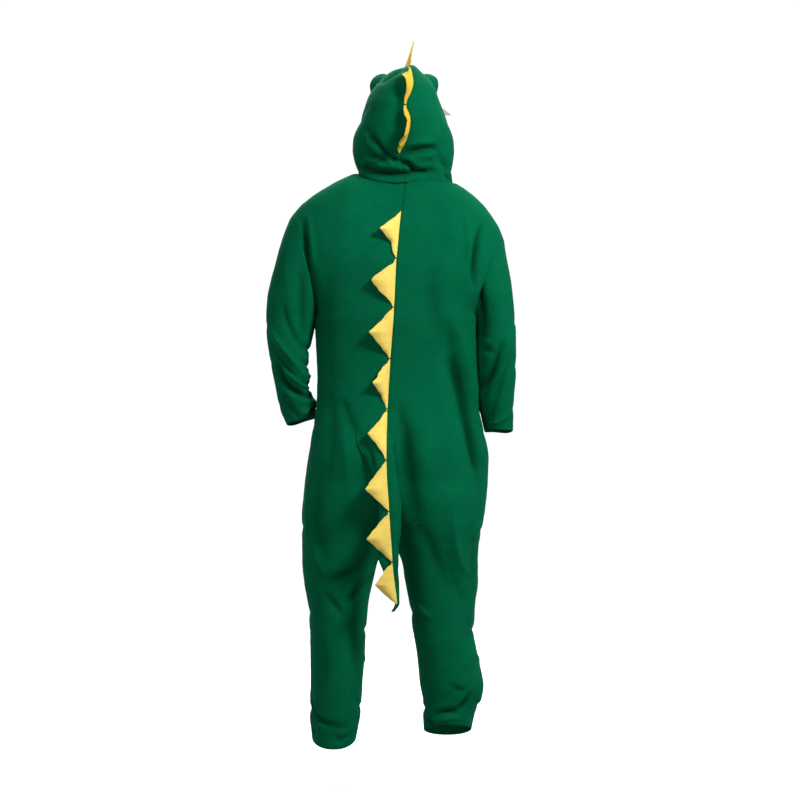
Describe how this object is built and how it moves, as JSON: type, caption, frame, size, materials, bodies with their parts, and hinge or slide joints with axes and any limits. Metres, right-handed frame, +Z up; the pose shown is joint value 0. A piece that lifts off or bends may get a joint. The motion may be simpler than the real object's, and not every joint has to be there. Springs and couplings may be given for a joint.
{
  "type": "crocodile onesie",
  "caption": "Hooded fleece overall in its worn, hollow form, with a crocodile hood, felt spikes down the back and a hanging tail, closed by a front zip.",
  "frame": {"origin": "middle of the neck opening at the height of the back neck seam, where the wearer's neck and shoulders carry the garment", "axes": "+Z up the wearer's height, +Y out of the back with the spikes and the tail, -Y out of the front with the zip, +X to the wearer's left"},
  "size_m": [0.6496, 0.3371, 1.8336],
  "materials": {
    "green_fleece": "polar fleece with a soft nap, matt with a faint sheen",
    "yellow_felt": "pressed felt, matt",
    "white_felt": "pressed felt, matt",
    "black_felt": "pressed felt, matt",
    "zip_tape": "woven polyester tape",
    "zip_coil": "moulded coil",
    "zip_metal": "plated die casting, worn satin"
  },
  "bodies": {
    "garment": {"back_left": "green_fleece", "back_right": "green_fleece", "front_left": "green_fleece", "front_right": "green_fleece", "sleeve_left": "green_fleece", "sleeve_right": "green_fleece", "hood_left": "green_fleece", "hood_right": "green_fleece", "tail_left": "green_fleece", "tail_right": "green_fleece", "back_spike_1": "yellow_felt", "back_spike_2": "yellow_felt", "back_spike_3": "yellow_felt", "back_spike_4": "yellow_felt", "back_spike_5": "yellow_felt", "back_spike_6": "yellow_felt", "back_spike_7": "yellow_felt", "back_spike_8": "yellow_felt", "hood_spike_1": "yellow_felt", "hood_spike_2": "yellow_felt", "hood_spike_3": "yellow_felt", "eye_left": "green_fleece", "eye_right": "green_fleece", "eye_white_left": "white_felt", "eye_white_right": "white_felt", "eye_pupil_left": "black_felt", "eye_pupil_right": "black_felt", "tooth_left_1": "white_felt", "tooth_left_2": "white_felt", "tooth_left_3": "white_felt", "tooth_left_4": "white_felt", "tooth_right_1": "white_felt", "tooth_right_2": "white_felt", "tooth_right_3": "white_felt", "tooth_right_4": "white_felt", "zip_tape": "zip_tape", "zip_coil": "zip_coil", "zip_slider": "zip_metal"},
    "pull_tab": {"zip_pull_tab": "zip_metal"}
  },
  "joints": [
    {"name": "pull_tab_swing", "type": "hinge", "parent": "garment", "child": "pull_tab", "pos_m": [-0.00812, -0.10861, -0.08497], "axis": [-0.9986, -0.0127, -0.0508], "range_deg": [0, 150]}
  ]
}
